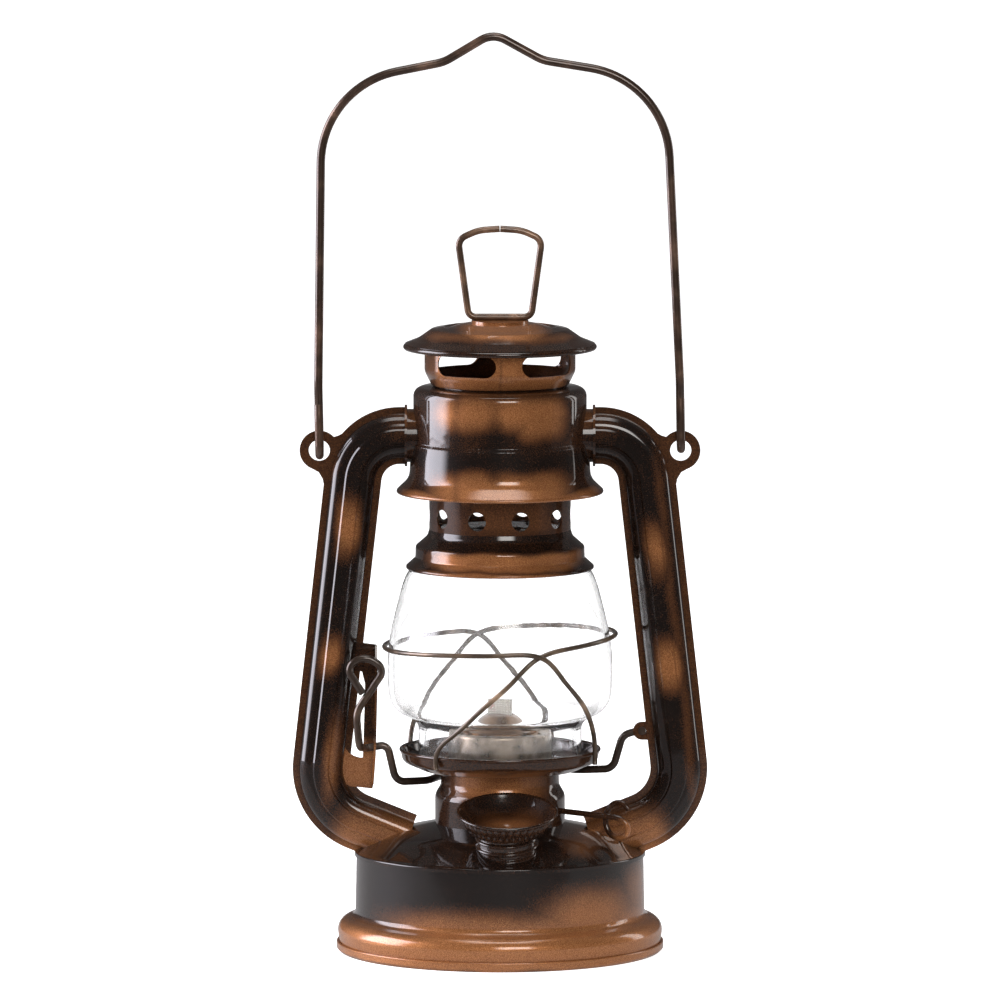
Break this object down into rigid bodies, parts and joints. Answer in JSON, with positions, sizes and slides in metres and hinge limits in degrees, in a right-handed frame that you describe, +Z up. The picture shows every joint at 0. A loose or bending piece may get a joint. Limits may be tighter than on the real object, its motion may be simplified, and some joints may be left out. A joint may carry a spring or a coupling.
{
  "type": "tubular kerosene lantern",
  "caption": "Small tubular barn lantern: round fount, side air tubes, lifting glass globe with guard wires, sprung chimney, screw cap, wick knob, lift lever and wire bail.",
  "frame": {"origin": "centre of the base on the table plane", "axes": "+Z up; -Y to the front, the filler cap's side; +X to the lantern's right-hand tube as seen from the front"},
  "size_m": [0.1372, 0.1082, 0.3041],
  "materials": {
    "copper_paint": "antique copper metallic paint under a glossy clear coat, sprayed nearly black in soft bands",
    "bronze_wire": "dark bronze lacquer on steel wire, semi-gloss",
    "clear_glass": "clear blown glass",
    "cotton_wick": "woven flat cotton",
    "rubber_seal": "matt",
    "spring_steel": "drawn wire, bare",
    "brass": "stamped, plain"
  },
  "bodies": {
    "frame": {"fount_bottom": "copper_paint", "fount_wall": "copper_paint", "fount_dome": "copper_paint", "filler_neck": "copper_paint", "burner_collar": "copper_paint", "burner_base": "copper_paint", "burner_drum": "copper_paint", "burner_dome": "copper_paint", "wick_tube": "copper_paint", "right_tube_front": "copper_paint", "right_tube_back": "copper_paint", "left_tube_front": "copper_paint", "left_tube_back": "copper_paint", "hood": "copper_paint", "right_hood_collar": "copper_paint", "left_hood_collar": "copper_paint", "chimney_spring": "spring_steel", "lever_bracket": "copper_paint", "pivot_tab": "copper_paint"},
    "globe_carriage": {"globe_plate": "copper_paint", "glass_globe": "clear_glass", "guard_wire_right": "bronze_wire", "guard_wire_left": "bronze_wire"},
    "chimney_group": {"chimney": "copper_paint", "globe_holder": "copper_paint", "crown": "copper_paint", "cap": "copper_paint", "ring_boss": "copper_paint", "pull_ring": "bronze_wire"},
    "lift_lever": {"lift_lever": "bronze_wire"},
    "wick_knob": {"wick_knob": "bronze_wire", "wick_wheel": "brass"},
    "wick": {"wick": "cotton_wick"},
    "cap_seal": {"cap_gasket": "rubber_seal"},
    "fuel_cap": {"fuel_cap": "copper_paint"},
    "bail": {"bail": "bronze_wire"}
  },
  "joints": [
    {"name": "globe_lift", "type": "slide", "parent": "frame", "child": "globe_carriage", "axis": [0, 0, 1], "range_m": [0, 0.0034]},
    {"name": "chimney_lift", "type": "slide", "parent": "globe_carriage", "child": "chimney_group", "axis": [0, 0, 1], "range_m": [0, 0.012], "stiffness_N_per_m": 150, "springref_m": -0.012, "deforming": ["chimney_spring"]},
    {"name": "lever_swing", "type": "hinge", "parent": "frame", "child": "lift_lever", "pos_m": [0.047, 0, 0.0726], "axis": [0, 1, 0], "range_deg": [0, 4.2]},
    {"name": "knob_turn", "type": "hinge", "parent": "frame", "child": "wick_knob", "pos_m": [-0.0014, -0.00385, 0.049], "axis": [0.9378, -0.3413, -0.0628], "range_deg": [-114, 114]},
    {"name": "wick_feed", "type": "slide", "parent": "frame", "child": "wick", "axis": [0, 0, 1], "range_m": [-0.0059, 0.0059]},
    {"name": "cap_rise", "type": "slide", "parent": "frame", "child": "cap_seal", "axis": [0, -0.2334, 0.9724], "range_m": [0, 0.0042]},
    {"name": "cap_turn", "type": "hinge", "parent": "cap_seal", "child": "fuel_cap", "pos_m": [0.0023, -0.0345, 0.0382], "axis": [0, -0.2334, 0.9724], "range_deg": [0, 540.1]},
    {"name": "bail_swing", "type": "hinge", "parent": "frame", "child": "bail", "pos_m": [0, 0, 0.171], "axis": [1, 0, 0], "range_deg": [-140, 140]}
  ],
  "couplings": [
    {"joint": "lever_swing", "follows": "globe_lift", "rad_per_m": 21.28},
    {"joint": "knob_turn", "follows": "wick_feed", "rad_per_m": 333.33},
    {"joint": "cap_turn", "follows": "cap_rise", "rad_per_m": 2244}
  ]
}
